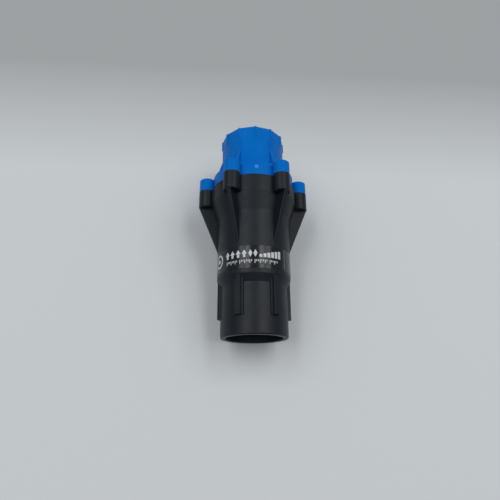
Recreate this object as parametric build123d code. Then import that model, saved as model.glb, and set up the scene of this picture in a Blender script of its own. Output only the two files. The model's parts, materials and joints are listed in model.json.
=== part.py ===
from build123d import *

import os
from math import atan, cos, degrees, radians

# In-line irrigation pressure regulator with 1 inch female pipe threads at both ends.
#
# Every piece is drawn upright: Z is the flow axis, z = 0 is the rim of the black inlet
# mouth and z = LENGTH is the blue outlet end. Azimuth 0 is the -Y side and turns towards +X.
# lay_down() turns the finished pieces into the row's frame, where the regulator lies on
# its side on z = 0: the inlet mouth points to -Y and azimuth 0 is uppermost.

# ------------------------------------------------------------------ driving dimensions (mm)
LENGTH = 132.2
SPLIT_Z = 93.8  # joint face between the two housings

SKIRT_R = 20.0  # plain cylinder round the inlet thread
SKIRT_TOP_Z = 29.5
EDGE_R = 0.8  # rounding of the rim and of the boss ends that the regulator lies on
BARREL_R = 22.3
BARREL_Z = 34.2
NECK_R = 23.1  # the barrel widens slightly towards the flange
NECK_Z = 71.9
FLANGE_R = 27.1
FLANGE_Z = 84.0

BOSS_COUNT = 6
BOSS_CIRCLE_R = 29.8
BOSS_R = 5.1
BOSS_BOTTOM_Z = 82.3
BOSS_TOP_Z = 102.0
BOSS_AZIMUTHS = [30 + 360 / BOSS_COUNT * i for i in range(BOSS_COUNT)]

WEB_THICKNESS = 2.6  # slanted web under each boss
WEB_FOOT_Z = 52.1
WEB_TOP_R = 34.5
SKIRT_RIB_TOP = 2.6  # width of the raised middle of a skirt rib
SKIRT_RIB_BASE = 5.6  # width of the low step that it stands on
SKIRT_RIB_STEP_R = 20.85
SKIRT_RIB_R = 21.9
SKIRT_RIB_Z = 11.0

LABEL_Z = (36.6, 50.0)
LABEL_R = (22.15, 22.4)

CAP_RING_R = 25.9  # blue flange
CAP_RING_Z = 103.4
HUB_BASE_R = 20.1
HUB_TOP_R = 19.75
GRIP_COUNT = 12  # sides of the collar at the outlet end, with a short ridge on each corner
COLLAR_R = 20.5
COLLAR_LENGTH = 9.8
COLLAR_RUN_OUT = 6.0  # the collar's flats fade into the round hub over this length
GRIP_R = 20.85
GRIP_LENGTH = 8.2
GRIP_RUN_OUT = 2.6  # its lower end slopes down to the hub over this length
GRIP_WIDTH = 1.2
HUB_RIB_R = 20.25
CAP_WEB_TOP_Z = 116.5
GATE_MARK_R = 0.8
GATE_MARK_Z = 99.5

# 1 inch parallel pipe thread, 11 turns to the inch, drawn as ring grooves.
# The crest radius may be 15.145 to 15.465; the two ends differ by their mould draft.
THREAD_PITCH = 2.309
INLET_CREST_R = 15.15
OUTLET_CREST_R = 15.35
THREAD_ROOT_R = 16.62
THREAD_TURNS = 5
SOCKET_LENGTH = 5.0  # plain socket between the end face and the thread
THREAD_START = 6.6  # from the end face to the first groove
THREAD_LENGTH = 18.0  # from the end face to the relief groove
RELIEF_LENGTH = 1.5
MOUTH_R = 16.95
BORE_R = 14.9  # plain water way behind both threads

# fixed seat at the inlet
GROOVE_Z = (20.3, 21.7)
CARRIER_Z = (21.8, 31.0)
CARRIER_R = BORE_R - 0.1
SEAT_CUP_R = 10.8
PAD_R = 9.55
PAD_Z = (27.2, 30.0)

# stem guide in the wall between the inlet and the spring chamber
THROAT_R = 13.8
WALL_Z = (37.0, 41.0)
TOWER_R = 13.2
TOWER_TOP_Z = 47.4
GLAND_R = 12.0
GLAND_Z = 42.0
BUSH_R = 9.95

# plunger
STEM_R = 9.0
STEM_BORE_R = 7.0
STEM_FIT = 0.05  # radial running clearance of the stem in its bush and O-ring
TRAVEL = 3.4
SHUT_GAP = 0.2  # between lip and pad with the plunger fully down
STEM_Z = (PAD_Z[1] + TRAVEL + SHUT_GAP, 97.5)
PLATE_Z = 92.0  # face that the diaphragm lies on
PLATE_R = 17.2
CLAMP_Z = (92.9, 94.9)
CLIP_Z = (95.0, 96.0)

CHAMBER_R = 18.8
OUTLET_CHAMBER_R = 22.0
OUTLET_THROAT_Z = 107.0
STOP_R = 13.0  # inner edge of the stop fins that the plunger rests against
STOP_Z = (CLAMP_Z[1] + 0.1, 97.0)
DIAPHRAGM_WALL_R = 22.6
BEAD_R = 24.5
BEAD_Z = 91.4
VENT_R = 0.8
VENT_Z = 88.5

SPRING_R = 14.7
SPRING_WIRE_R = 1.3
SPRING_Z = (42.2, 89.5)
SPRING_TURNS = 7

SCREW_HEAD_R = 3.9
SCREW_HEAD_Z = (99.2, 101.7)
SCREW_R = 1.95
SCREW_TIP_Z = 84.9
SCREW_HOLE_R = 2.0

# The regulator lies on the rim of its mouth and on the lower corners of two bosses.
TILT = degrees(atan((BOSS_CIRCLE_R * cos(radians(30)) + BOSS_R - SKIRT_R) / BOSS_BOTTOM_Z))


# ------------------------------------------------------------------ helpers
def turned(points):
    """Solid of revolution about Z from a closed outline of (radius, z) points."""
    return revolve(make_face(Plane.XZ * Polyline(*points, close=True)), Axis.Z)


def tube(outer, inner, low, high):
    """Plain ring with a square section."""
    return turned([(inner, low), (outer, low), (outer, high), (inner, high)])


def rod(radius, low, high):
    """Round bar along Z."""
    return Pos(0, 0, low) * Cylinder(radius, high - low, align=(Align.CENTER, Align.CENTER, Align.MIN))


def at_azimuth(shape, azimuth):
    """Turns a shape drawn at azimuth 0, on the -Y side, to another azimuth."""
    return Rot(0, 0, azimuth) * shape


def fin(points, thickness, rounded=None, size=0.5):
    """Flat radial plate at azimuth 0 from a closed outline of (radius, z) points.

    rounded is the number of the side, counted from the first point, whose long edges are rounded.
    """
    outline = [(-radius, z) for radius, z in points]
    face = make_face(Plane.YZ * Polyline(*outline, close=True))
    plate = extrude(face, amount=thickness / 2, both=True)
    if rounded is None:
        return plate
    (y1, z1), (y2, z2) = outline[rounded], outline[rounded + 1]
    middle = ((y1 + y2) / 2, (z1 + z2) / 2)
    picked = [
        edge
        for edge in plate.edges()
        if abs((edge @ 0.5).Y - middle[0]) < 0.01 and abs((edge @ 0.5).Z - middle[1]) < 0.01
    ]
    return fillet(picked, size)


def rib_layer(width, draft, inner_r, outer_r, rounding):
    """One step of a skirt rib: a bar with drafted sides and rounded long edges."""
    outline = [
        (-width / 2 - draft, -inner_r),
        (-width / 2, -outer_r),
        (width / 2, -outer_r),
        (width / 2 + draft, -inner_r),
    ]
    section = Pos(0, 0, SKIRT_RIB_Z) * make_face(Polyline(*outline, close=True))
    bar = extrude(section, amount=BARREL_Z - 0.5 - SKIRT_RIB_Z, dir=(0, 0, 1))
    outer = [
        edge
        for edge in bar.edges().filter_by(Axis.Z)
        if edge.center().Y < 0.1 - outer_r
    ]
    return fillet(outer, rounding)


def skirt_rib():
    """Rib in two steps on the skirt, under each boss, at azimuth 0."""
    low_step = rib_layer(SKIRT_RIB_BASE, 0.15, SKIRT_R - 1, SKIRT_RIB_STEP_R, 0.25)
    return low_step + rib_layer(SKIRT_RIB_TOP, 0.1, SKIRT_R - 1, SKIRT_RIB_R, 0.3)


def repeated(shape, azimuths):
    """Copies of a shape drawn at azimuth 0."""
    return [at_azimuth(shape, azimuth) for azimuth in azimuths]


def boss(radius, low, high):
    """Round boss at azimuth 0 on the screw circle."""
    return Pos(0, -BOSS_CIRCLE_R, 0) * rod(radius, low, high)


def round_edges(shape, z, radius, size, tolerance=0.05):
    """Rounds the full circles of a given radius that lie at height z."""
    picked = [
        edge
        for edge in shape.edges().filter_by(GeomType.CIRCLE)
        if abs(edge.center().Z - z) < tolerance and abs(edge.radius - radius) < tolerance
    ]
    return fillet(picked, size)


def pipe_thread(face_z, inward, crest_r):
    """Socket, cone, bore, ring grooves and relief of a female pipe thread, as a tool to cut away.

    The thread starts at face_z and runs inward, which is +1 or -1 along Z.
    """

    def level(depth):
        return face_z + inward * depth

    lead = 0.3
    cone_depth = (MOUTH_R - crest_r) * 0.7
    outline = [
        (0, level(-1)),
        (MOUTH_R + lead, level(-1)),
        (MOUTH_R + lead, level(0)),
        (MOUTH_R, level(lead)),
        (MOUTH_R, level(SOCKET_LENGTH)),
        (crest_r, level(SOCKET_LENGTH + cone_depth)),
    ]
    root, crest = 0.35, 0.30
    flank = (THREAD_PITCH - root - crest) / 2
    for turn in range(THREAD_TURNS):
        near = THREAD_START + turn * THREAD_PITCH
        outline += [
            (crest_r, level(near)),
            (THREAD_ROOT_R, level(near + flank)),
            (THREAD_ROOT_R, level(near + flank + root)),
            (crest_r, level(near + 2 * flank + root)),
        ]
    outline += [
        (crest_r, level(THREAD_LENGTH)),
        (THREAD_ROOT_R, level(THREAD_LENGTH)),
        (THREAD_ROOT_R, level(THREAD_LENGTH + RELIEF_LENGTH)),
        (0, level(THREAD_LENGTH + RELIEF_LENGTH)),
    ]
    return turned(outline)


# ------------------------------------------------------------------ housings
def inlet_housing():
    """Black housing: inlet thread, seat bore, stem guide tower and spring chamber."""
    body = turned(
        [
            (0, 0),
            (SKIRT_R, 0),
            (SKIRT_R, SKIRT_TOP_Z),
            (BARREL_R, BARREL_Z),
            (BARREL_R, LABEL_Z[1] + 1),
            (NECK_R, NECK_Z),
            (FLANGE_R, FLANGE_Z),
            (FLANGE_R, SPLIT_Z),
            (0, SPLIT_Z),
        ]
    )
    body = round_edges(body, 0, SKIRT_R, EDGE_R)
    body = round_edges(body, BARREL_Z, BARREL_R, 1.2)
    body = round_edges(body, NECK_Z, NECK_R, 8.0)
    body = round_edges(body, FLANGE_Z, FLANGE_R, 0.8)

    post = boss(BOSS_R, BOSS_BOTTOM_Z, SPLIT_Z)
    post = fillet(post.edges().group_by(Axis.Z)[0], EDGE_R)
    web = fin(
        [
            (BARREL_R - 1.5, WEB_FOOT_Z - 2.5),
            (BARREL_R - 0.1, WEB_FOOT_Z),
            (WEB_TOP_R, BOSS_BOTTOM_Z),
            (WEB_TOP_R, BOSS_BOTTOM_Z + 2),
            (BARREL_R - 1.5, BOSS_BOTTOM_Z + 2),
        ],
        WEB_THICKNESS,
        rounded=1,
    )
    for piece in (post, web, skirt_rib()):
        body += repeated(piece, BOSS_AZIMUTHS)

    inside = [
        turned(
            [
                (0, THREAD_LENGTH),
                (BORE_R, THREAD_LENGTH),
                (BORE_R, CARRIER_Z[1]),
                (THROAT_R, CARRIER_Z[1]),
                (THROAT_R, WALL_Z[0]),
                (BUSH_R + 0.05, WALL_Z[0]),
                (BUSH_R + 0.05, GLAND_Z),
                (GLAND_R, GLAND_Z),
                (GLAND_R, TOWER_TOP_Z + 1),
                (0, TOWER_TOP_Z + 1),
            ]
        ),
        turned(
            [
                (TOWER_R, WALL_Z[1]),
                (CHAMBER_R, WALL_Z[1]),
                (CHAMBER_R, NECK_Z - 4),
                (DIAPHRAGM_WALL_R, FLANGE_Z - 1),
                (DIAPHRAGM_WALL_R, BEAD_Z),
                (BEAD_R + 0.1, BEAD_Z),
                (BEAD_R + 0.1, SPLIT_Z + 1),
                (0, SPLIT_Z + 1),
                (0, TOWER_TOP_Z),
                (TOWER_R, TOWER_TOP_Z),
            ]
        ),
        tube(BORE_R + 1.2, BORE_R - 1, *GROOVE_Z),
        pipe_thread(0, 1, INLET_CREST_R),
        tube(BARREL_R + 1, LABEL_R[0], *LABEL_Z),
    ]
    holes = boss(SCREW_HOLE_R, SCREW_TIP_Z - 0.6, SPLIT_Z + 1)
    vent = Pos(0, DIAPHRAGM_WALL_R + 2, VENT_Z) * Rot(90, 0, 0) * Cylinder(VENT_R, 8)
    body -= inside + repeated(holes, BOSS_AZIMUTHS) + [vent]
    return body


def outlet_housing():
    """Blue housing: clamps the diaphragm, stops the plunger and carries the outlet thread."""
    body = turned(
        [
            (0, SPLIT_Z),
            (CAP_RING_R, SPLIT_Z),
            (CAP_RING_R, CAP_RING_Z - 0.8),
            (CAP_RING_R - 0.8, CAP_RING_Z),
            (HUB_BASE_R, CAP_RING_Z + 0.9),
            (HUB_TOP_R, LENGTH - 0.6),
            (HUB_TOP_R - 0.6, LENGTH),
            (0, LENGTH),
        ]
    )
    post = boss(BOSS_R - 0.1, SPLIT_Z, BOSS_TOP_Z)
    post = fillet(post.edges().group_by(Axis.Z)[-1], 0.6)
    web = fin(
        [
            (HUB_TOP_R - 1, CAP_RING_Z - 2),
            (BOSS_CIRCLE_R - BOSS_R + 0.4, CAP_RING_Z - 2),
            (BOSS_CIRCLE_R - BOSS_R + 0.4, BOSS_TOP_Z - 0.2),
            (HUB_RIB_R, CAP_WEB_TOP_Z),
            (HUB_TOP_R - 1, CAP_WEB_TOP_Z),
        ],
        2.0,
        rounded=2,
        size=0.3,
    )
    hub_rib = fin(
        [
            (HUB_TOP_R - 1, CAP_RING_Z),
            (HUB_RIB_R, CAP_RING_Z),
            (HUB_RIB_R, LENGTH - GRIP_LENGTH + GRIP_RUN_OUT),
            (HUB_TOP_R - 1, LENGTH - GRIP_LENGTH + GRIP_RUN_OUT),
        ],
        GRIP_WIDTH,
    )
    grip = fin(
        [
            (HUB_TOP_R - 1, LENGTH - GRIP_LENGTH),
            (HUB_TOP_R, LENGTH - GRIP_LENGTH),
            (GRIP_R, LENGTH - GRIP_LENGTH + GRIP_RUN_OUT),
            (GRIP_R, LENGTH - 0.3),
            (GRIP_R - 0.3, LENGTH),
            (HUB_TOP_R - 1, LENGTH),
        ],
        GRIP_WIDTH,
        rounded=2,
        size=0.35,
    )
    foot_z = LENGTH - COLLAR_LENGTH
    collar = Pos(0, 0, foot_z) * extrude(RegularPolygon(COLLAR_R, GRIP_COUNT), LENGTH - foot_z)
    collar = chamfer(collar.edges().group_by(Axis.Z)[-1], 0.3)
    flare = turned(
        [
            (0, foot_z),
            (HUB_TOP_R, foot_z),
            (COLLAR_R + 0.2, foot_z + COLLAR_RUN_OUT),
            (COLLAR_R + 0.2, LENGTH),
            (0, LENGTH),
        ]
    )
    body += collar & flare
    for piece in (post, web, hub_rib):
        body += repeated(piece, BOSS_AZIMUTHS)
    body += repeated(grip, [360 / GRIP_COUNT * i for i in range(GRIP_COUNT)])
    gate_mark = Pos(0, -CAP_RING_R, GATE_MARK_Z) * Rot(90, 0, 0) * Cylinder(GATE_MARK_R, 0.3)
    body += gate_mark

    chamber = turned(
        [
            (0, SPLIT_Z - 1),
            (OUTLET_CHAMBER_R, SPLIT_Z - 1),
            (OUTLET_CHAMBER_R, STOP_Z[1]),
            (BORE_R, OUTLET_THROAT_Z),
            (BORE_R, LENGTH - THREAD_LENGTH),
            (0, LENGTH - THREAD_LENGTH),
        ]
    )
    body -= [chamber, pipe_thread(LENGTH, -1, OUTLET_CREST_R)]
    stop = fin(
        [
            (STOP_R, STOP_Z[0]),
            (OUTLET_CHAMBER_R + 0.5, STOP_Z[0]),
            (OUTLET_CHAMBER_R + 0.5, STOP_Z[1] + 1),
            (BORE_R + 1, OUTLET_THROAT_Z),
            (STOP_R, OUTLET_THROAT_Z - 3),
        ],
        1.8,
    )
    body += repeated(stop, BOSS_AZIMUTHS)

    clear = boss(SCREW_HOLE_R, SPLIT_Z - 1, BOSS_TOP_Z + 1)
    counterbore = boss(SCREW_HEAD_R + 0.15, SCREW_HEAD_Z[0], CAP_WEB_TOP_Z + 2)
    body -= repeated(clear, BOSS_AZIMUTHS) + repeated(counterbore, BOSS_AZIMUTHS)
    return body


def label_band():
    """Glossy printed label wrapped round the barrel."""
    return tube(LABEL_R[1], LABEL_R[0], *LABEL_Z)


def flange_screws():
    """Thread-forming socket screws that join the housings, heads sunk in the blue bosses."""
    head = boss(SCREW_HEAD_R, *SCREW_HEAD_Z)
    head = fillet(head.edges().group_by(Axis.Z)[-1], 0.5)
    shank = boss(SCREW_R, SCREW_TIP_Z, SCREW_HEAD_Z[0])
    socket = extrude(RegularPolygon(1.75, 6, major_radius=False), amount=2.0)
    socket = Pos(0, -BOSS_CIRCLE_R, SCREW_HEAD_Z[1] - 1.6) * socket
    screw = head + shank - socket
    tip = screw.edges().filter_by(GeomType.CIRCLE).group_by(Axis.Z)[0]
    screw = chamfer(tip, 0.5)
    return Compound(children=repeated(screw, BOSS_AZIMUTHS))


# ------------------------------------------------------------------ fixed seat
def seat_carrier():
    """Spider that holds the seat pad in the middle of the flow, with a pointed nose upstream."""
    low, high = CARRIER_Z
    ring = tube(CARRIER_R, CARRIER_R - 1.4, low, high)
    hub = turned(
        [
            (0, 18.6),
            (1.8, 18.8),
            (SEAT_CUP_R - 2.6, low),
            (SEAT_CUP_R, 25.0),
            (SEAT_CUP_R, PAD_Z[1] - 0.4),
            (PAD_R + 0.02, PAD_Z[1] - 0.4),
            (PAD_R + 0.02, PAD_Z[0]),
            (0, PAD_Z[0]),
        ]
    )
    rim, top = CARRIER_R - 1, PAD_Z[1] - 1
    spoke = fin([(7.0, low + 1), (rim, low + 1), (rim, top), (10.0, top), (7.0, PAD_Z[0])], 2.0)
    cavity = rod(PAD_R + 0.02, PAD_Z[0], PAD_Z[1] + 5)
    return ring + hub + repeated(spoke, [0, 120, 240]) - cavity


def seat_pad():
    """Rubber disc that the stem throttles against."""
    pad = rod(PAD_R, *PAD_Z)
    return fillet(pad.edges().group_by(Axis.Z)[-1], 0.4)


def seat_retainer():
    """Split snap ring that keeps the seat carrier against its shoulder."""
    ring = tube(BORE_R + 1.1, BORE_R - 1.2, GROOVE_Z[0] + 0.1, GROOVE_Z[1] - 0.05)
    gap = Pos(0, -BORE_R, GROOVE_Z[0]) * Box(9, 6, 6)
    return ring - gap


# ------------------------------------------------------------------ stem guide
def guide_bush():
    """Plain flanged bush that the stem slides in."""
    inner = STEM_R + STEM_FIT
    top = GLAND_Z + 1.2
    return turned(
        [
            (inner, WALL_Z[0]),
            (BUSH_R, WALL_Z[0]),
            (BUSH_R, GLAND_Z),
            (GLAND_R - 0.1, GLAND_Z),
            (GLAND_R - 0.1, top),
            (inner, top),
        ]
    )


def stem_oring():
    """O-ring that keeps inlet water out of the spring chamber."""
    section = (GLAND_R - 0.05 - STEM_R - STEM_FIT) / 2
    centre = STEM_R + STEM_FIT + section
    return Pos(0, 0, GLAND_Z + 1.2 + section + 0.02) * Torus(centre, section)


def oring_retainer():
    """Flat ring pressed into the tower over the O-ring."""
    return tube(GLAND_R - 0.05, STEM_R + 0.3, GLAND_Z + 4.2, TOWER_TOP_Z)


# ------------------------------------------------------------------ spring and plunger
def spring_seat():
    """Flat washer under the spring."""
    return tube(SPRING_R + 2.8, TOWER_R + 0.15, WALL_Z[1], SPRING_Z[0])


def spring():
    """Compression spring with ends ground flat."""
    low, high = SPRING_Z
    pitch = (high - low) / SPRING_TURNS
    path = Pos(0, 0, low) * Helix(pitch, high - low, SPRING_R)
    wire = sweep(Plane(path @ 0, z_dir=path % 0) * Circle(SPRING_WIRE_R), path=path, is_frenet=True)
    envelope = tube(SPRING_R + 3, SPRING_R - 3, low, high)
    return wire & envelope


def plunger_stem():
    """Hollow stem: its lower lip throttles against the seat pad."""
    low, high = STEM_Z
    return turned(
        [
            (STEM_BORE_R + 0.7, low),
            (STEM_BORE_R + 1.1, low),
            (STEM_R, low + 1.2),
            (STEM_R, 87.0),
            (11.0, 87.0),
            (11.0, 88.5),
            (STEM_R, 88.5),
            (STEM_R, CLIP_Z[0] - 0.02),
            (STEM_R - 0.7, CLIP_Z[0] - 0.02),
            (STEM_R - 0.7, CLIP_Z[1] + 0.02),
            (STEM_R, CLIP_Z[1] + 0.02),
            (STEM_R, high - 0.6),
            (STEM_R - 0.6, high),
            (STEM_BORE_R, high),
            (STEM_BORE_R, low + 1.5),
        ]
    )


def diaphragm_plate():
    """Cup-shaped piston that carries the diaphragm and takes the spring's push."""
    return turned(
        [
            (STEM_R + 0.1, 88.5),
            (12.0, 88.5),
            (12.0, SPRING_Z[1]),
            (16.2, SPRING_Z[1]),
            (16.2, 86.5),
            (PLATE_R, 86.5),
            (PLATE_R, PLATE_Z - 0.3),
            (PLATE_R - 0.3, PLATE_Z),
            (STEM_R + 0.1, PLATE_Z),
        ]
    )


def diaphragm():
    """Rolling rubber diaphragm: flat middle, one downward convolution and a clamped bead."""
    thickness = CLAMP_Z[0] - PLATE_Z
    wall = DIAPHRAGM_WALL_R - 0.15
    limb = PLATE_R + 0.35
    roll_r = (wall - limb) / 2
    roll_c = limb + roll_r
    roll_z = 89.9
    inner_r = roll_r - thickness
    hole_r = STEM_R + 0.1
    outline = Polyline((hole_r, CLAMP_Z[0]), (hole_r, PLATE_Z), (limb, PLATE_Z), (limb, roll_z))
    outline += ThreePointArc((limb, roll_z), (roll_c, roll_z - roll_r), (wall, roll_z))
    outline += Polyline(
        (wall, roll_z),
        (wall, BEAD_Z),
        (BEAD_R, BEAD_Z),
        (BEAD_R, SPLIT_Z),
        (wall - thickness, SPLIT_Z),
        (wall - thickness, roll_z),
    )
    outer_face, inner_face = wall - thickness, limb + thickness
    outline += ThreePointArc((outer_face, roll_z), (roll_c, roll_z - inner_r), (inner_face, roll_z))
    outline += Polyline((inner_face, roll_z), (inner_face, CLAMP_Z[0]), (hole_r, CLAMP_Z[0]))
    return revolve(make_face(Plane.XZ * outline), Axis.Z)


def diaphragm_clamp():
    """Ring that clamps the middle of the diaphragm against the plate."""
    low, high = CLAMP_Z
    return turned(
        [
            (STEM_R + 0.1, low),
            (PLATE_R - 0.3, low),
            (PLATE_R - 0.3, high - 0.6),
            (PLATE_R - 0.9, high),
            (STEM_R + 0.1, high),
        ]
    )


def plunger_clip():
    """Split snap ring that holds the plate, diaphragm and clamp on the stem."""
    ring = tube(STEM_R + 1.6, STEM_R - 0.6, *CLIP_Z)
    gap = Pos(0, -STEM_R, CLIP_Z[0]) * Box(5, 5, 3)
    return ring - gap


# ------------------------------------------------------------------ assembly
def build_parts():
    makers = [
        inlet_housing,
        outlet_housing,
        label_band,
        flange_screws,
        seat_carrier,
        seat_pad,
        seat_retainer,
        guide_bush,
        stem_oring,
        oring_retainer,
        spring_seat,
        spring,
        plunger_stem,
        diaphragm_plate,
        diaphragm,
        diaphragm_clamp,
        plunger_clip,
    ]
    return {maker.__name__: maker() for maker in makers}


def lay_down(parts):
    """Turns the upright pieces onto their side and centres them over the origin."""
    turn = Rot(TILT - 90, 0, 0)
    laid = {name: turn * shape for name, shape in parts.items()}
    boxes = [shape.bounding_box() for shape in laid.values()]
    low = [min(tuple(box.min)[i] for box in boxes) for i in range(3)]
    high = [max(tuple(box.max)[i] for box in boxes) for i in range(3)]
    shift = Pos(-(low[0] + high[0]) / 2, -(low[1] + high[1]) / 2, -low[2])
    return {name: shift * shape for name, shape in laid.items()}, shift * turn


upright = build_parts()
placed, placement = lay_down(upright)

os.makedirs("parts", exist_ok=True)
for name, shape in placed.items():
    export_step(shape, f"parts/{name}.step")
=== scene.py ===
"""Looks of the in-line irrigation pressure regulator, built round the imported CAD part."""

import json
import math

import bmesh
import bpy
from mathutils import Matrix, Vector


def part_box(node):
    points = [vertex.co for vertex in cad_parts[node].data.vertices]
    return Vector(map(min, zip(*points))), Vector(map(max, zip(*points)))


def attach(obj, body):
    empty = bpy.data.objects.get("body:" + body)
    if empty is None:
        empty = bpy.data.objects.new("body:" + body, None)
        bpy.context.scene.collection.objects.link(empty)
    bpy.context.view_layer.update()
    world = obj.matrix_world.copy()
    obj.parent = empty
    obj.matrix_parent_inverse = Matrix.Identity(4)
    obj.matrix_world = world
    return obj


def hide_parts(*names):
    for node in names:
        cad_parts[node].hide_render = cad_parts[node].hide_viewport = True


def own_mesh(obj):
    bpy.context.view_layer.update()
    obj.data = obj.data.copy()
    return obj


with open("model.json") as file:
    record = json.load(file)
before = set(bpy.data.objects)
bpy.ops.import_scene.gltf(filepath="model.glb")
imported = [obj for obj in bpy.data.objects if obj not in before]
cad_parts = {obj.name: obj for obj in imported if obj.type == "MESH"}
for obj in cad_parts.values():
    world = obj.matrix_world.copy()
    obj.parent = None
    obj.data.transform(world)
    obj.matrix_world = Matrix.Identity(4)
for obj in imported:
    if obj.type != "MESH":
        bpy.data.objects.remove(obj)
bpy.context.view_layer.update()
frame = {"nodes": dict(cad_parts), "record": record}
scene = bpy.context.scene
scene.view_settings.view_transform = "Standard"
MM = 0.001

# ------------------------------------------------------------------ where things are
record = frame["record"]
mounts = {mount["name"]: mount for mount in record["mounts"]}
FLOW = Vector(mounts["outlet_thread"]["axis"]).normalized()  # along the regulator, inlet to outlet
UP = (Vector((0, 0, 1)) - FLOW * FLOW.z).normalized()  # out of the side that faces upwards
SIDE = FLOW.cross(UP)


def band_frame():
    """Centre and outer radius of the printed band, from its node's box."""
    low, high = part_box("label_band")
    return (low + high) / 2, (high.x - low.x) / 2


BAND_CENTRE, BAND_R = band_frame()


def reach(name):
    """Where the node starts and ends along the flow axis, measured from the band's middle."""
    along = [FLOW.dot(vert.co - BAND_CENTRE) for vert in frame["nodes"][name].data.vertices]
    return min(along), max(along)


# ------------------------------------------------------------------ shared helpers
def turns(steps):
    """Angles at even steps round a full turn."""
    return [2 * math.pi * step / steps for step in range(steps)]


def fixed_piece(name, bm, material):
    """Makes the built mesh an object that stays with the housing."""
    bmesh.ops.recalc_face_normals(bm, faces=bm.faces[:])
    mesh = bpy.data.meshes.new(name)
    bm.to_mesh(mesh)
    bm.free()
    mesh.materials.append(material)
    piece = bpy.data.objects.new(name, mesh)
    scene.collection.objects.link(piece)
    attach(piece, "housing")
    return piece


# ------------------------------------------------------------------ materials
# A noise of scale 100 has features of about a hundredth of a metre. Colours are linear.
class Shader:
    """Small helper that builds one Principled material out of noise layers."""

    def __init__(self, name):
        self.material = bpy.data.materials.new(name)
        self.material.use_nodes = True
        self.tree = self.material.node_tree
        self.tree.nodes.clear()
        out = self.node("ShaderNodeOutputMaterial")
        self.bsdf = self.node("ShaderNodeBsdfPrincipled")
        self.link(self.bsdf.outputs["BSDF"], out.inputs["Surface"])
        self.place = self.node("ShaderNodeTexCoord").outputs["Object"]

    def node(self, kind, **settings):
        made = self.tree.nodes.new(kind)
        for key, value in settings.items():
            setattr(made, key, value)
        return made

    def link(self, source, target):
        self.tree.links.new(source, target)

    def stretched(self, stretch):
        """The place on the object, stretched along its axes."""
        mapping = self.node("ShaderNodeMapping")
        mapping.inputs["Scale"].default_value = stretch
        self.link(self.place, mapping.inputs["Vector"])
        return mapping.outputs["Vector"]

    def noise(self, scale, detail=3.0, roughness=0.5, stretch=None):
        made = self.node("ShaderNodeTexNoise")
        made.inputs["Scale"].default_value = scale
        made.inputs["Detail"].default_value = detail
        made.inputs["Roughness"].default_value = roughness
        self.link(self.stretched(stretch) if stretch else self.place, made.inputs["Vector"])
        return made.outputs["Fac"]

    def specks(self, scale, size):
        """1 in small scattered dots, 0 between them."""
        made = self.node("ShaderNodeTexVoronoi")
        made.inputs["Scale"].default_value = scale
        self.link(self.place, made.inputs["Vector"])
        return self.spread(made.outputs["Distance"], size, size * 0.6)

    def spread(self, value, low, high, to_low=0.0, to_high=1.0):
        """Takes low to high over to to_low to to_high, and holds those beyond it."""
        made = self.node("ShaderNodeMapRange")
        ranges = {"From Min": low, "From Max": high, "To Min": to_low, "To Max": to_high}
        for key, number in ranges.items():
            made.inputs[key].default_value = number
        self.link(value, made.inputs["Value"])
        return made.outputs["Result"]

    def both(self, first, second, operation="MULTIPLY"):
        """Two values joined into one."""
        made = self.node("ShaderNodeMath", operation=operation)
        self.link(first, made.inputs[0])
        self.link(second, made.inputs[1])
        return made.outputs["Value"]

    def mix(self, factor, first, second):
        """A colour between two; each is given as numbers or comes from another mix."""
        made = self.node("ShaderNodeMix", data_type="RGBA")
        for key, value in (("A", first), ("B", second)):
            socket = [s for s in made.inputs if s.name == key and s.type == "RGBA"][0]
            if isinstance(value, tuple):
                socket.default_value = (*value, 1)
            else:
                self.link(value, socket)
        factor_socket = [s for s in made.inputs if s.name == "Factor" and s.type == "VALUE"][0]
        self.link(factor, factor_socket)
        return [s for s in made.outputs if s.type == "RGBA"][0]

    def set(self, **values):
        """Constant inputs of the Principled shader, with _ for a space in their names."""
        for key, value in values.items():
            self.bsdf.inputs[key.replace("_", " ")].default_value = value

    def colour(self, source):
        self.link(source, self.bsdf.inputs["Base Color"])

    def rough(self, source):
        self.link(source, self.bsdf.inputs["Roughness"])

    def bumps(self, *layers):
        """layers: (height, strength, distance in metres), one bump over the last."""
        normal = None
        for height, strength, distance in layers:
            made = self.node("ShaderNodeBump")
            made.inputs["Strength"].default_value = strength
            made.inputs["Distance"].default_value = distance
            self.link(height, made.inputs["Height"])
            if normal:
                self.link(normal, made.inputs["Normal"])
            normal = made.outputs["Normal"]
        self.link(normal, self.bsdf.inputs["Normal"])


def moulded(s, dark, light, scuffed, rough):
    """Moulded plastic: flow clouds, fine mould grain, faint scuffs, and patches handled smooth."""
    clouds = s.spread(s.noise(70, 4, 0.55), 0.35, 0.65)
    body = s.mix(clouds, dark, light)
    scuff_lines = s.spread(s.noise(500, 3, 0.6, stretch=(1.0, 0.12, 1.0)), 0.64, 0.72)
    scuff_places = s.spread(s.noise(55, 2, 0.5), 0.55, 0.7)
    scuffs = s.both(scuff_lines, scuff_places)
    s.colour(s.mix(scuffs, body, scuffed))
    handled = s.spread(s.noise(120, 5, 0.6), 0.3, 0.7, rough - 0.05, rough + 0.05)
    s.rough(s.both(handled, s.spread(scuffs, 0, 1, 0, 0.12), "ADD"))
    grain = s.noise(7000, 2, 0.6)
    waves = s.noise(160, 2, 0.4)
    s.bumps((waves, 0.12, 0.0005), (grain, 0.18, 0.00003), (scuffs, 0.15, 0.00002))


def black_nylon():
    s = Shader("black_nylon")
    moulded(s, (0.0065, 0.0098, 0.0148), (0.0091, 0.0132, 0.0190), (0.028, 0.034, 0.040), 0.42)
    s.set(Specular_IOR_Level=0.25)
    return s.material


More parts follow.
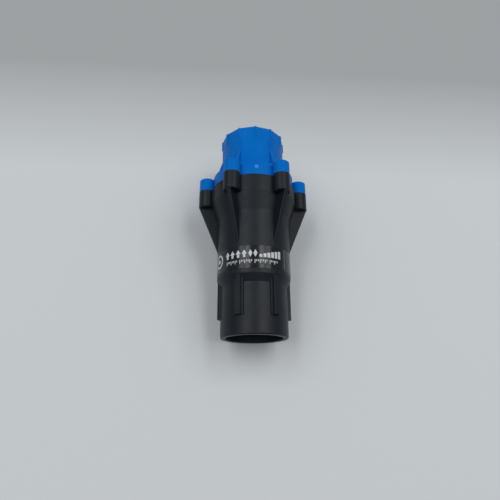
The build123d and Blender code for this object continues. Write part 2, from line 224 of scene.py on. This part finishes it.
def blue_nylon():
    s = Shader("blue_nylon")
    moulded(s, (0.0010, 0.146, 0.555), (0.0022, 0.164, 0.605), (0.030, 0.220, 0.640), 0.46)
    s.set(Specular_IOR_Level=0.2, Specular_Tint=(0.05, 0.45, 1.0, 1))
    return s.material


def label_film():
    """Glossy film: slightly wavy, with fine rubbed lines round the barrel."""
    s = Shader("label_film")
    tone = s.spread(s.noise(110, 4, 0.5), 0.35, 0.65)
    s.colour(s.mix(tone, (0.0088, 0.0108, 0.0136), (0.0112, 0.0137, 0.0168)))
    rubbed = s.noise(260, 4, 0.6, stretch=(0.25, 1.0, 0.25))
    s.rough(s.spread(rubbed, 0.35, 0.7, 0.15, 0.24))
    s.set(Specular_IOR_Level=0.36)
    s.bumps((s.noise(140, 2, 0.4), 0.22, 0.0004), (s.noise(1400, 3, 0.5), 0.08, 0.00003))
    return s.material


def ink_and_highlight(name, thin, full):
    """Printing colour, also used for one painted highlight: nearly even, thinner in small specks where
    the film shows through.
    """
    s = Shader(name)
    cover = s.spread(s.noise(900, 4, 0.6), 0.32, 0.5)
    pinholes = s.specks(1800, 0.16)
    s.colour(s.mix(pinholes, s.mix(cover, thin, full), thin))
    s.rough(s.spread(s.noise(600, 3, 0.5), 0.3, 0.7, 0.34, 0.46))
    s.bumps((s.noise(2500, 3, 0.6), 0.2, 0.00002))
    return s.material


def metal(name, dark, light, rough, lines):
    """Bare steel: drawing or stamping lines along one direction, and duller patches."""
    s = Shader(name)
    fine = s.noise(900, 4, 0.65, stretch=lines)
    dull = s.noise(130, 4, 0.55)
    s.colour(s.mix(s.spread(fine, 0.35, 0.65), dark, light))
    patches = s.spread(dull, 0.3, 0.7, rough, rough + 0.1)
    s.rough(s.both(patches, s.spread(fine, 0.3, 0.7, 0, 0.06), "ADD"))
    s.set(Metallic=1.0)
    s.bumps((fine, 0.25, 0.00002), (dull, 0.1, 0.0001))
    return s.material


def acetal(name, dark, light, rough):
    """Hard acetal: even body, faint turning marks and a few darker specks."""
    s = Shader(name)
    body = s.mix(s.spread(s.noise(80, 3, 0.5), 0.35, 0.65), dark, light)
    stain = tuple(0.7 * channel for channel in dark)
    stained = s.both(s.specks(420, 0.14), s.spread(s.noise(60, 2, 0.5), 0.5, 0.6))
    s.colour(s.mix(stained, body, stain))
    s.rough(s.spread(s.noise(240, 4, 0.6), 0.3, 0.7, rough - 0.06, rough + 0.06))
    turning_marks = s.noise(2200, 2, 0.5, stretch=(1.0, 0.1, 1.0))
    s.bumps((turning_marks, 0.12, 0.00002), (s.noise(200, 2, 0.4), 0.08, 0.0004))
    return s.material


def rubber():
    """Black rubber: matt, with a greyish bloom in patches and a pebbled skin."""
    s = Shader("rubber")
    bloom = s.spread(s.noise(150, 5, 0.65), 0.48, 0.7)
    s.colour(s.mix(bloom, (0.013, 0.013, 0.014), (0.030, 0.030, 0.031)))
    s.rough(s.spread(bloom, 0, 1, 0.58, 0.78))
    s.bumps((s.noise(3000, 3, 0.6), 0.3, 0.00003), (s.noise(260, 3, 0.5), 0.15, 0.0003))
    return s.material


ALONG_X_AND_Z, ALONG_Y = (0.1, 1.0, 0.1), (1.0, 0.08, 1.0)  # the way that steel's fine lines run
MATERIALS = {
    "black_nylon": black_nylon(),
    "blue_nylon": blue_nylon(),
    "label_film": label_film(),
    "stainless": metal("stainless", (0.46, 0.465, 0.47), (0.60, 0.605, 0.61), 0.24, ALONG_Y),
    "spring_steel": metal("spring_steel", (0.36, 0.37, 0.385), (0.50, 0.51, 0.525), 0.2, ALONG_X_AND_Z),
    "grey_acetal": acetal("grey_acetal", (0.125, 0.133, 0.142), (0.16, 0.17, 0.18), 0.38),
    "white_acetal": acetal("white_acetal", (0.66, 0.66, 0.62), (0.75, 0.75, 0.715), 0.34),
    "rubber": rubber(),
}
WHITE_INK = ink_and_highlight("white_ink", (0.40, 0.43, 0.45), (0.64, 0.68, 0.70))
# Pale grey paint for a painted highlight: the sheen along the label's overlapping seam.
SEAM_HIGHLIGHT_PAINT = ink_and_highlight("seam_highlight_paint", (0.10, 0.108, 0.114), (0.17, 0.18, 0.188))
for subpart in record["subparts"]:
    node = frame["nodes"][subpart["node"]]
    node.data.materials.clear()
    node.data.materials.append(MATERIALS[subpart["material_slot"]])


# ------------------------------------------------------------------ printed marks, and a painted highlight, on the band
# A mark is drawn flat, in millimetres: x runs round the band from its upward side towards SIDE,
# y runs along FLOW from the band's middle. It is then wrapped round the band as a thin layer.
LAYER_THICKNESS = 0.05 * MM
WRAP_STEP = 0.8 * MM  # width of one flat facet once it is wrapped
MERGE_DISTANCE = 0.003 * MM
ROUNDING, BAR_ROUNDING, FINE_ROUNDING = 0.2, 0.25, 0.1
ROW_BOTTOM, ROW_HEIGHT = -0.3, 4.6  # the row of arrows, diamonds and bars
ARROWS_START, DIAMONDS_START, BARS_START = -20.05, -5.04, 1.33
TICKS_START, TICKS_END, TICK_TOP = -19.1, 12.8, -1.75  # the row below it
RING_X, RING_Y = -27.1, 0.5
# Where the painted highlight along the label's overlapping seam lies.
SEAM_HIGHLIGHT_LEFT, SEAM_HIGHLIGHT_BOTTOM, SEAM_HIGHLIGHT_WIDTH, SEAM_HIGHLIGHT_HEIGHT = 18.35, -5.1, 0.42, 11.4


def softened(corners, radius):
    """The outline with each corner rounded by a short curve."""
    points = []
    for index, corner in enumerate(corners):
        here = Vector(corner)
        before, after = Vector(corners[index - 1]), Vector(corners[(index + 1) % len(corners)])
        start = here + (before - here).normalized() * radius
        end = here + (after - here).normalized() * radius
        for t in (0, 0.25, 0.5, 0.75, 1):
            points.append(start * (1 - t) ** 2 + here * 2 * t * (1 - t) + end * t**2)
    return points


def circle(x, y, radius, steps=56):
    outward = [Vector((math.cos(turn), math.sin(turn))) for turn in turns(steps)]
    return [Vector((x, y)) + direction * radius for direction in outward]


def block(left, bottom, width, height, radius):
    """An upright rectangle with rounded corners."""
    right, top = left + width, bottom + height
    return softened([(left, bottom), (right, bottom), (right, top), (left, top)], radius)


def wrap(flat):
    """A flat point (round, along, height), in metres, placed on the band."""
    angle = flat.x / BAND_R
    out = UP * math.cos(angle) + SIDE * math.sin(angle)
    return BAND_CENTRE + FLOW * flat.y + out * (BAND_R + flat.z)


def print_and_highlight_layer(name, outlines, material):
    """One wrapped piece (print, and once a painted highlight): filled outlines (an outline inside
    another is a hole), wrapped.
    """
    bm = bmesh.new()
    edges = []
    for outline in outlines:
        loop = [bm.verts.new((p[0] * MM, p[1] * MM, 0)) for p in outline]
        edges += [bm.edges.new((loop[i - 1], loop[i])) for i in range(len(loop))]
    bmesh.ops.triangle_fill(bm, use_beauty=True, edges=edges, normal=(0, 0, 1))
    left = min(vert.co.x for vert in bm.verts)
    right = max(vert.co.x for vert in bm.verts)
    for cut in range(math.ceil(left / WRAP_STEP), math.ceil(right / WRAP_STEP)):
        everything = bm.verts[:] + bm.edges[:] + bm.faces[:]
        place = (cut * WRAP_STEP, 0, 0)
        bmesh.ops.bisect_plane(bm, geom=everything, plane_co=place, plane_no=(1, 0, 0))
    bmesh.ops.remove_doubles(bm, verts=bm.verts[:], dist=MERGE_DISTANCE)
    raised = bmesh.ops.extrude_face_region(bm, geom=bm.faces[:])
    for item in raised["geom"]:
        if isinstance(item, bmesh.types.BMVert):
            item.co.z += LAYER_THICKNESS
    for vert in bm.verts:
        vert.co = wrap(vert.co)
    fixed_piece(name, bm, material)


def flow_arrows(start, count=4, width=3.1, gap=0.58, shaft_width=1.44, shaft_height=2.1):
    """Fat arrows that point from the inlet to the outlet."""
    top, neck = ROW_BOTTOM + ROW_HEIGHT, ROW_BOTTOM + shaft_height
    half, shaft = width / 2, shaft_width / 2
    outlines = []
    for number in range(count):
        x = start + half + number * (width + gap)
        corners = [(x - shaft, ROW_BOTTOM), (x + shaft, ROW_BOTTOM), (x + shaft, neck)]
        corners += [(x + half, neck), (x, top), (x - half, neck), (x - shaft, neck)]
        outlines.append(softened(corners, ROUNDING))
    return outlines


def diamonds(start, count=2, width=2.35, gap=0.54):
    top, middle, half = ROW_BOTTOM + ROW_HEIGHT, ROW_BOTTOM + ROW_HEIGHT / 2, width / 2
    outlines = []
    for number in range(count):
        x = start + half + number * (width + gap)
        corners = [(x, ROW_BOTTOM), (x + half, middle), (x, top), (x - half, middle)]
        outlines.append(softened(corners, ROUNDING))
    return outlines


def rising_bars(start, count=6, width=1.75, gap=0.62, lowest=1.7):
    """A pressure scale: bars that rise in even steps to the row's full height."""
    outlines = []
    for number in range(count):
        height = lowest + (ROW_HEIGHT - lowest) * number / (count - 1)
        left = start + number * (width + gap)
        outlines.append(block(left, ROW_BOTTOM, width, height, BAR_ROUNDING))
    return outlines


def ruler_ticks(start, end, pitch=0.98, width=0.44, tall=2.2, short=1.25, group=8):
    """Fine ticks, every third one tall, in groups with one left out between them."""
    outlines = []
    for number in range(int((end - start) / pitch) + 1):
        place_in_group = number % (group + 1)
        if place_in_group == group:
            continue
        height = tall if place_in_group % 3 == 0 else short
        left = start + number * pitch
        outlines.append(block(left, TICK_TOP - height, width, height, FINE_ROUNDING))
    return outlines


def target_ring(x, y, radius=4.2, line=0.95, dot=1.25):
    """A plain ring with a dot in its middle."""
    return [circle(x, y, radius), circle(x, y, radius - line), circle(x, y, dot)]


print_and_highlight_layer("mark_flow_arrows", flow_arrows(ARROWS_START), WHITE_INK)
print_and_highlight_layer("mark_diamonds", diamonds(DIAMONDS_START), WHITE_INK)
print_and_highlight_layer("mark_rising_bars", rising_bars(BARS_START), WHITE_INK)
print_and_highlight_layer("mark_ruler_ticks", ruler_ticks(TICKS_START, TICKS_END), WHITE_INK)
print_and_highlight_layer("mark_ring", target_ring(RING_X, RING_Y), WHITE_INK)
# Painted highlight: the label's overlapping seam drawn as a pale grey strip, standing in for its sheen.
seam_highlight = block(SEAM_HIGHLIGHT_LEFT, SEAM_HIGHLIGHT_BOTTOM, SEAM_HIGHLIGHT_WIDTH, SEAM_HIGHLIGHT_HEIGHT, FINE_ROUNDING)
print_and_highlight_layer("painted_seam_highlight", [seam_highlight], SEAM_HIGHLIGHT_PAINT)

# ------------------------------------------------------------------ gate mark on the blue ring
GATE_FROM_OUTLET = 32.7 * MM  # along the flow axis, from the blue end's face
GATE_BASE_R = 25.8 * MM  # distance from the flow axis, just inside the ring's surface
GATE_DOME_R = 1.35 * MM
GATE_DOME_HEIGHT = 0.4 * MM
GATE_RINGS, GATE_STEPS_AROUND = 6, 24


def gate_blue():
    """Paler blue than the ring's plastic."""
    s = Shader("gate_blue")
    moulded(s, (0.020, 0.250, 0.760), (0.040, 0.300, 0.820), (0.08, 0.36, 0.86), 0.5)
    s.set(Specular_IOR_Level=0.3)
    return s.material


def gate_mark():
    """Small pale dome where the moulding gate was cut off."""
    outlet_face = reach("outlet_housing")[1]
    centre = BAND_CENTRE + FLOW * (outlet_face - GATE_FROM_OUTLET) + UP * GATE_BASE_R
    bm = bmesh.new()
    top = bm.verts.new(centre + UP * GATE_DOME_HEIGHT)
    outward = [FLOW * math.cos(turn) + SIDE * math.sin(turn) for turn in turns(GATE_STEPS_AROUND)]
    circles = []
    for ring in range(1, GATE_RINGS + 1):
        lean = math.pi / 2 * ring / GATE_RINGS
        middle = centre + UP * GATE_DOME_HEIGHT * math.cos(lean)
        radius = GATE_DOME_R * math.sin(lean)
        circles.append([bm.verts.new(middle + direction * radius) for direction in outward])
    for step in range(GATE_STEPS_AROUND):
        before = step - 1
        bm.faces.new((top, circles[0][before], circles[0][step]))
        for inner, outer in zip(circles, circles[1:]):
            bm.faces.new((inner[before], outer[before], outer[step], inner[step]))
    for face in bm.faces:
        face.smooth = True
    bm.faces.new(circles[-1])
    fixed_piece("gate_mark", bm, gate_blue())


gate_mark()

# ------------------------------------------------------------------ spring
# The CAD spring keeps its length and is hidden. This one stands on the same washer, as long as the CAD
# spring, and stays fixed with the housing.
WIRE_R = 1.3 * MM
COIL_TURNS = 7
STEPS_PER_TURN = 48
STEPS_ROUND_WIRE = 16
SPRING_GAP = 0.02 * MM  # under the plate that it pushes


def helix_ring(turned_by, coil_r, pitch, foot):
    """Points round the wire where the helix has turned by this angle."""
    out = UP * math.cos(turned_by) + SIDE * math.sin(turned_by)
    round_axis = SIDE * math.cos(turned_by) - UP * math.sin(turned_by)
    rise = pitch / (2 * math.pi)
    along_wire = (round_axis * coil_r + FLOW * rise).normalized()
    across = along_wire.cross(out)
    middle = BAND_CENTRE + FLOW * (foot + rise * turned_by) + out * coil_r
    outward = [out * math.cos(turn) + across * math.sin(turn) for turn in turns(STEPS_ROUND_WIRE)]
    return [middle + direction * WIRE_R for direction in outward]


def grind(bm, along, outward):
    """Cuts the wire off flat at this place and closes the cut."""
    everything = bm.verts[:] + bm.edges[:] + bm.faces[:]
    plane = {"plane_co": BAND_CENTRE + FLOW * along, "plane_no": outward}
    cut = bmesh.ops.bisect_plane(bm, geom=everything, clear_outer=True, **plane)
    edges = [item for item in cut["geom_cut"] if isinstance(item, bmesh.types.BMEdge)]
    bmesh.ops.triangle_fill(bm, use_beauty=True, edges=edges)


def wire_spring():
    """Helical wire with ends ground flat, as long as the CAD spring at rest."""
    low_corner, high_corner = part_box("spring")
    coil_r = (high_corner.x - low_corner.x) / 2 - WIRE_R
    foot, top = reach("spring")
    top -= SPRING_GAP
    pitch = (top - foot) / COIL_TURNS
    bm = bmesh.new()
    rings = []
    for step in range(COIL_TURNS * STEPS_PER_TURN + 1):
        spots = helix_ring(2 * math.pi * step / STEPS_PER_TURN, coil_r, pitch, foot)
        rings.append([bm.verts.new(spot) for spot in spots])
    for first, second in zip(rings, rings[1:]):
        for index in range(len(first)):
            face = bm.faces.new((first[index - 1], first[index], second[index], second[index - 1]))
            face.smooth = True
    bm.faces.new(rings[0])
    bm.faces.new(rings[-1])
    grind(bm, foot, -FLOW)
    grind(bm, top, FLOW)
    piece = fixed_piece("wire_spring", bm, MATERIALS["spring_steel"])
    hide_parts("spring")
    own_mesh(piece)


wire_spring()

# ------------------------------------------------------------------ floor
FLOOR_REACH = 3.0
# Painted shade: the floor colour darkens between these two distances beyond the regulator, standing in
# for dimmer light there.
SHADE_FROM_Y, FULL_SHADE_AT_Y = 0.07, 0.185  # just past the blue end, and well beyond it
PALE_PAPER, SHADED_PAPER = (0.69, 0.722, 0.735), (0.425, 0.442, 0.45)
floor_mesh = bpy.data.meshes.new("bench_top")
signs = [(-1, -1), (1, -1), (1, 1), (-1, 1)]
corners = [(FLOOR_REACH * x, FLOOR_REACH * y, 0) for x, y in signs]
floor_mesh.from_pydata(corners, [], [(0, 1, 2, 3)])
floor = bpy.data.objects.new("bench_top", floor_mesh)
scene.collection.objects.link(floor)


def bench_paper():
    """Pale paper with a painted shade beyond the regulator, darker as where a sheet curves up away from
    the light.
    """
    s = Shader("bench_paper")
    s.set(Roughness=0.75, Specular_IOR_Level=0.2)
    place = s.node("ShaderNodeSeparateXYZ")
    s.link(s.place, place.inputs["Vector"])
    # painted shade, growing from the first distance to the full shade at the second
    painted_shade = s.spread(place.outputs["Y"], SHADE_FROM_Y, FULL_SHADE_AT_Y)
    s.colour(s.mix(painted_shade, PALE_PAPER, SHADED_PAPER))
    return s.material


floor_mesh.materials.append(bench_paper())

# ------------------------------------------------------------------ light
ROOM_COLOUR = (0.95, 0.98, 1.0, 1)
ROOM_STRENGTH = 0.23
CEILING = 1.6
PANEL_LENGTH = 1.5
PANEL_Y = 0.15
NARROW_WIDTH, NARROW_POWER = 0.42, 6.8
WIDE_WIDTH, WIDE_POWER = 0.8, 8.2

world = bpy.data.worlds.new("studio")
scene.world = world
world.use_nodes = True
background = world.node_tree.nodes["Background"]
background.inputs["Color"].default_value = ROOM_COLOUR
background.inputs["Strength"].default_value = ROOM_STRENGTH


def ceiling_panel(name, x, width, power):
    """A soft light that shines straight down; power is in watts."""
    lamp = bpy.data.lights.new(name, "AREA")
    lamp.shape = "RECTANGLE"
    lamp.size, lamp.size_y = width, PANEL_LENGTH
    lamp.energy = power
    panel = bpy.data.objects.new(name, lamp)
    panel.location = (x, PANEL_Y, CEILING)
    scene.collection.objects.link(panel)


ceiling_panel("panel_left", -0.68, NARROW_WIDTH, NARROW_POWER)
ceiling_panel("panel_right", 0.56, NARROW_WIDTH, NARROW_POWER)
ceiling_panel("wide_panel_left", -1.42, WIDE_WIDTH, WIDE_POWER)
ceiling_panel("wide_panel_right", 1.3, WIDE_WIDTH, WIDE_POWER)

# ------------------------------------------------------------------ camera
# Its angles, distance and lens were fitted to the photograph together with the part's sizes.
CAMERA_ELEVATION = math.radians(62.27)
CAMERA_AZIMUTH = math.radians(9.39)
CAMERA_ROLL = math.radians(9.53)
CAMERA_DISTANCE = 0.2606
CAMERA_AIM = Vector((-2.59, -13.17, 31.0)) * MM
SENSOR_WIDTH, FOCAL_LENGTH = 36, 30.57  # millimetres
heading = Vector((math.sin(CAMERA_AZIMUTH), math.cos(CAMERA_AZIMUTH), 0))
forward = heading * math.cos(CAMERA_ELEVATION) - Vector((0, 0, math.sin(CAMERA_ELEVATION)))
level = forward.cross(Vector((0, 0, 1))).normalized()
upright = level.cross(forward)
right = level * math.cos(CAMERA_ROLL) + upright * math.sin(CAMERA_ROLL)
above = right.cross(forward)
lens = bpy.data.cameras.new("camera")
lens.sensor_width = SENSOR_WIDTH
lens.lens = FOCAL_LENGTH
lens.clip_start, lens.clip_end = 0.01, 20
camera = bpy.data.objects.new("camera", lens)
turn = Matrix((right, above, -forward)).transposed().to_4x4()
camera.matrix_world = Matrix.Translation(CAMERA_AIM - forward * CAMERA_DISTANCE) @ turn
scene.collection.objects.link(camera)
scene.camera = camera
